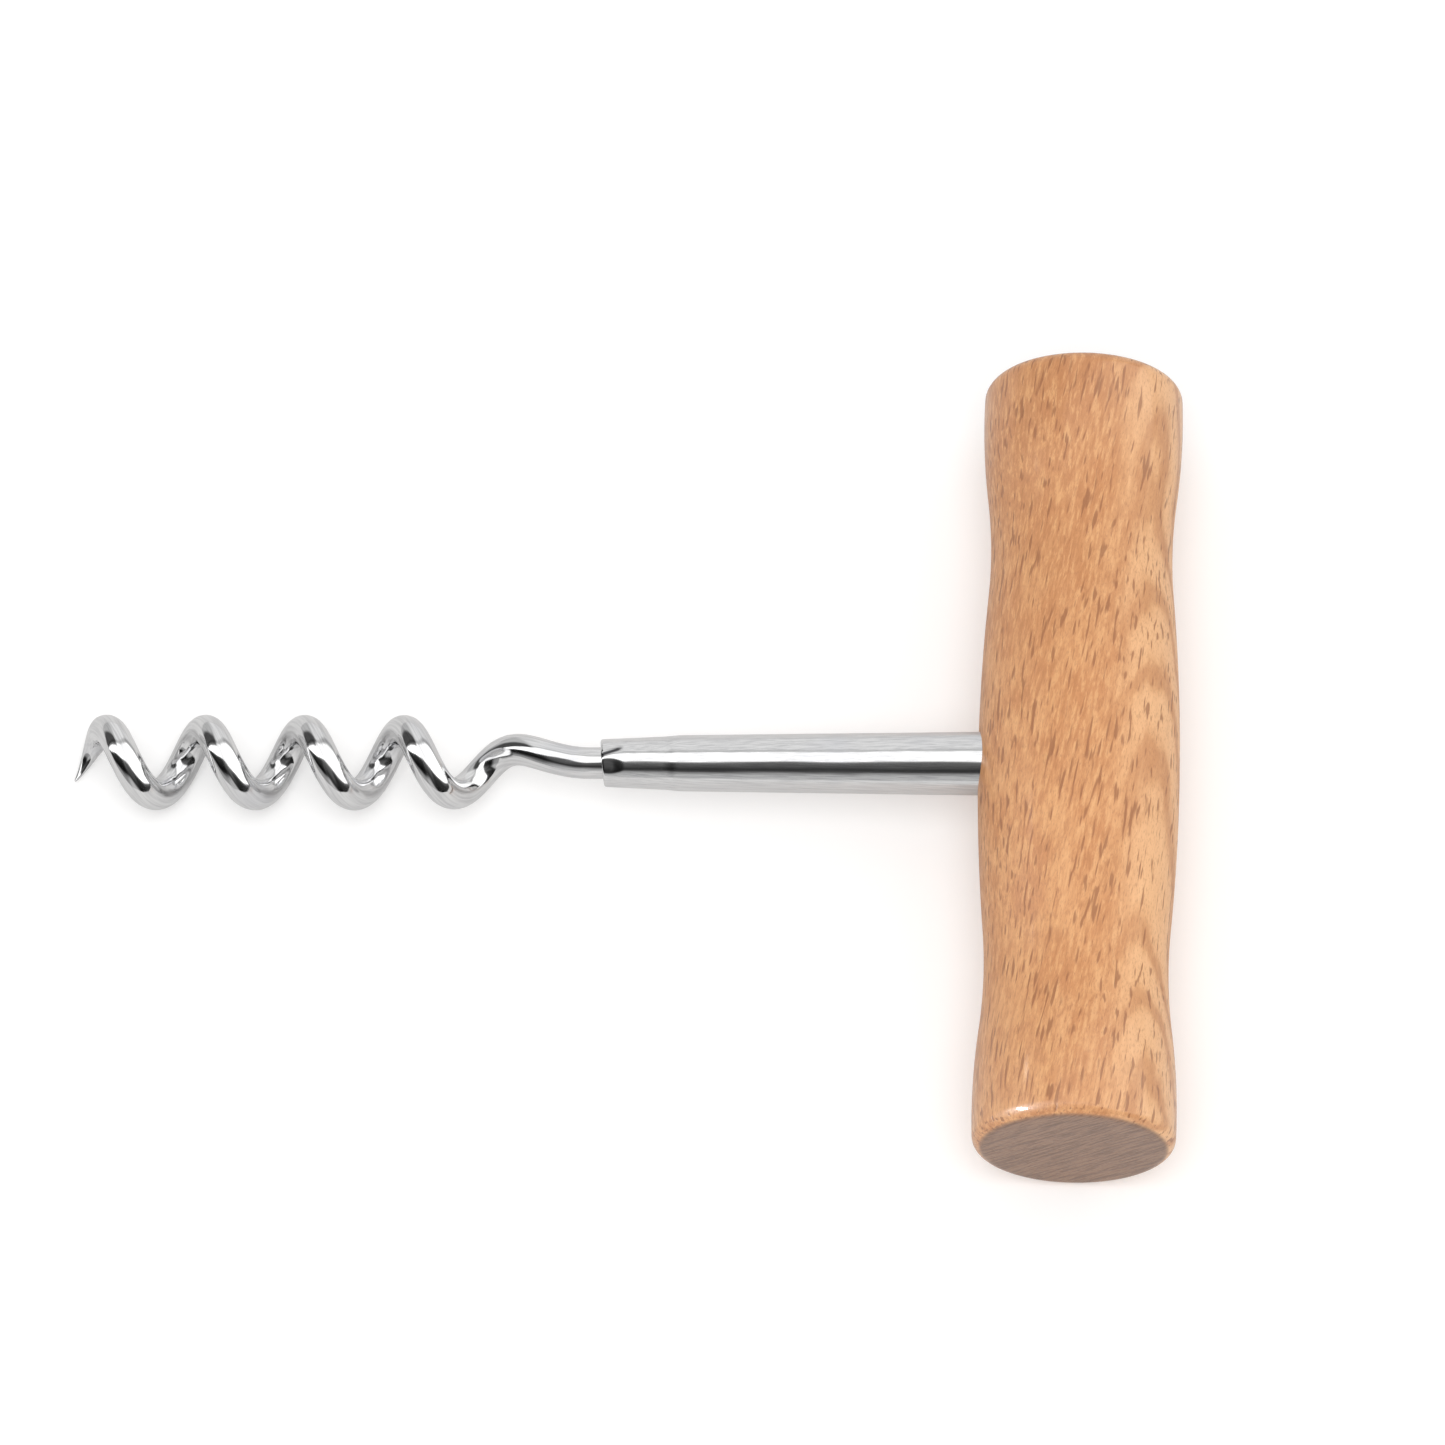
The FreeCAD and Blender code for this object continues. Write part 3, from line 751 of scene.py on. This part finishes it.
CORNER_DARK, CORNER_SLOPE = 0.9, 1.4
to_the_left = sky.between(direction["X"], -0.28, -0.48)
behind = sky.between(angle, math.radians(10), math.radians(18), 0.0, CORNER_DARK)
corner_height = sky.sum("ADD", angle, sky.sum("MULTIPLY", direction["X"], CORNER_SLOPE))
below_top = sky.between(corner_height, -0.04, 0.28, 1.0, 0.3)
corner = sky.sum("MULTIPLY", sky.sum("MULTIPLY", to_the_left, behind), below_top)
print("at the far right the sheet looks", round(math.exp(WIDENS * (1 - TUBE_LOOKS)), 1), "times as wide")

# %% [markdown]
# ### Who sees the studio
#
# Only mirrored rays see the bands. Matt surfaces get one even soft light, which keeps the wood and
# the table free of stripes, and the camera sees plain white past the table.

# %% One world for each kind of ray
SOFT_LIGHT, SOFT_STRENGTH = (1.0, 0.99, 0.98, 1), 0.80
mirrored = sky.add("ShaderNodeBackground", Color=bands, Strength=sky.sum("SUBTRACT", 1.0, corner))
even = sky.add("ShaderNodeBackground", Color=SOFT_LIGHT, Strength=SOFT_STRENGTH)
white = sky.add("ShaderNodeBackground")
ray = sky.add("ShaderNodeLightPath").outputs


def either(share, first, second):
    node = sky.add("ShaderNodeMixShader", Fac=share)
    sky.plug(node.inputs[1], first.outputs[0])
    sky.plug(node.inputs[2], second.outputs[0])
    return node


seen = either(ray["Is Camera Ray"], either(ray["Is Glossy Ray"], even, mirrored), white)
sky.add("ShaderNodeOutputWorld", Surface=seen.outputs[0])
print("nodes in the studio:", len(sky.tree.nodes))

# %% [markdown]
# ## Lamps
#
# One large soft lamp overhead, a little to the front, shapes the handle and gives the shadow under
# it. Two small ones at the left light the lacquer alone, through Blender's light linking: a narrow
# strip leaves the bright spot on the eased edge of the near end, and a faint one the line of glare
# along the waist. In the photograph the steel mirrors no wood, so mirrored rays pass the handle by
# and find the dark end of the room.


# %% Three lamps
lacquered = bpy.data.collections.new("lacquered")
lacquered.objects.link(handle)


def lamp(name, place, length, width, power, for_lacquer=False):
    light = bpy.data.lights.new(name, "AREA")
    light.shape = "ELLIPSE"
    light.size, light.size_y = length, width
    light.energy = power
    holder = bpy.data.objects.new(name, light)
    holder.location = place
    holder.rotation_euler = (-Vector(place)).to_track_quat("-Z", "Y").to_euler()
    holder.visible_camera = False
    holder.visible_glossy = for_lacquer
    holder.visible_diffuse = not for_lacquer
    if for_lacquer:
        holder.light_linking.receiver_collection = lacquered
    bpy.context.collection.objects.link(holder)
    print(name, "lamp at", [round(value, 2) for value in place])


lamp("overhead", (0.02, -0.30, 0.95), 0.7, 0.7, 3.9)
lamp("spark", (-0.215, -0.115, 0.15), 0.16, 0.04, 2.0, for_lacquer=True)
lamp("glare", (-0.199, 0.087, 0.166), 0.02, 0.02, 0.008, for_lacquer=True)
handle.visible_glossy = False

# %% [markdown]
# ## Camera
#
# The photograph looks down from the near end of the handle with a long lens, which keeps the
# handle nearly free of perspective. The camera is set by three turns about the middle of the
# handle and by how far off that middle its own axis passes. The lens follows from the distance
# and the scale of the picture.

# %% The camera
PIXELS = 1445
TILT, SWING, ROLL = (math.radians(value) for value in (24.0, -2.0, 0.4))
DISTANCE, SCALE = 858.0, 10.62
OFFSET = Vector((356.4, -41.3)) / SCALE
axes = (Matrix.Rotation(ROLL, 3, "Z") @ Matrix.Rotation(-TILT, 3, "X") @ Matrix.Rotation(SWING, 3, "Z"))
spot = HANDLE_MIDDLE + axes.transposed() @ Vector((-OFFSET.x, -OFFSET.y, DISTANCE))
camera_data = bpy.data.cameras.new("camera")
camera_data.sensor_width = 36
camera_data.lens = SCALE * DISTANCE / PIXELS * camera_data.sensor_width
camera_data.clip_end = 20
camera = bpy.data.objects.new("camera", camera_data)
camera.matrix_world = Matrix.Translation(spot * MM) @ axes.transposed().to_4x4()
bpy.context.collection.objects.link(camera)
bpy.context.scene.camera = camera
bpy.context.scene.view_settings.view_transform = "Standard"
print("lens", round(camera_data.lens), "mm from", round(DISTANCE), "mm")

# %% [markdown]
# ## Size
#
# The dressed corkscrew has to be the size of the measured one.
